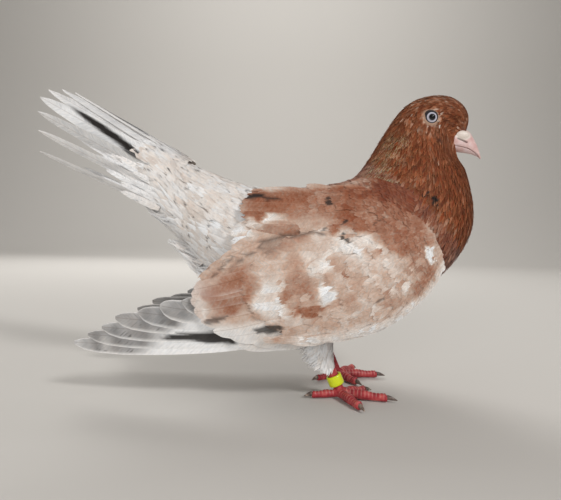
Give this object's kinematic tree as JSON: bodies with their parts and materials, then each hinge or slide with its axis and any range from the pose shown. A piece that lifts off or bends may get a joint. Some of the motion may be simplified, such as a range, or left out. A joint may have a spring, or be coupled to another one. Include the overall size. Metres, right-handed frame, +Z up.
{
  "type": "oriental roller pigeon",
  "caption": "Standing oriental roller pigeon, life size, with folded drooping wings, a raised arched tail and a plain ring on its right leg.",
  "frame": {"origin": "middle of the footprint of the whole bird, on the floor it stands on", "axes": "+X towards the bill, +Y towards the bird's left side, +Z up"},
  "size_m": [0.2938, 0.1084, 0.1994],
  "materials": {
    "head_feathers": "soft warm brown feathers",
    "neck_feathers": "red-brown feathers with a green and purple sheen",
    "body_feathers": "dusty red-brown feathers, white to the rear",
    "wing_feathers": "pinkish brown and cream feathers, pale grey flights",
    "tail_feathers": "white and pale grey feathers with dark stripes",
    "leg_feathers": "white downy feathers",
    "foot_skin": "red scaled skin",
    "claw_horn": "dark horn",
    "bill_horn": "pale pink horn with a whitish cere",
    "eye": "wet pearl iris with a black pupil",
    "ring_plastic": "plain yellow-green plastic"
  },
  "bodies": {
    "root": {"head": "head_feathers", "neck": "neck_feathers", "torso": "body_feathers", "tail": "tail_feathers", "wing_right": "wing_feathers", "wing_left": "wing_feathers", "leg_right": "leg_feathers", "leg_left": "leg_feathers", "foot_right": "foot_skin", "foot_left": "foot_skin", "claw_right_middle": "claw_horn", "claw_right_inner": "claw_horn", "claw_right_outer": "claw_horn", "claw_right_hind": "claw_horn", "claw_left_middle": "claw_horn", "claw_left_inner": "claw_horn", "claw_left_outer": "claw_horn", "claw_left_hind": "claw_horn", "leg_ring": "ring_plastic", "bill_upper": "bill_horn", "bill_lower": "bill_horn", "eye_right": "eye", "eye_left": "eye"}
  },
  "joints": []
}
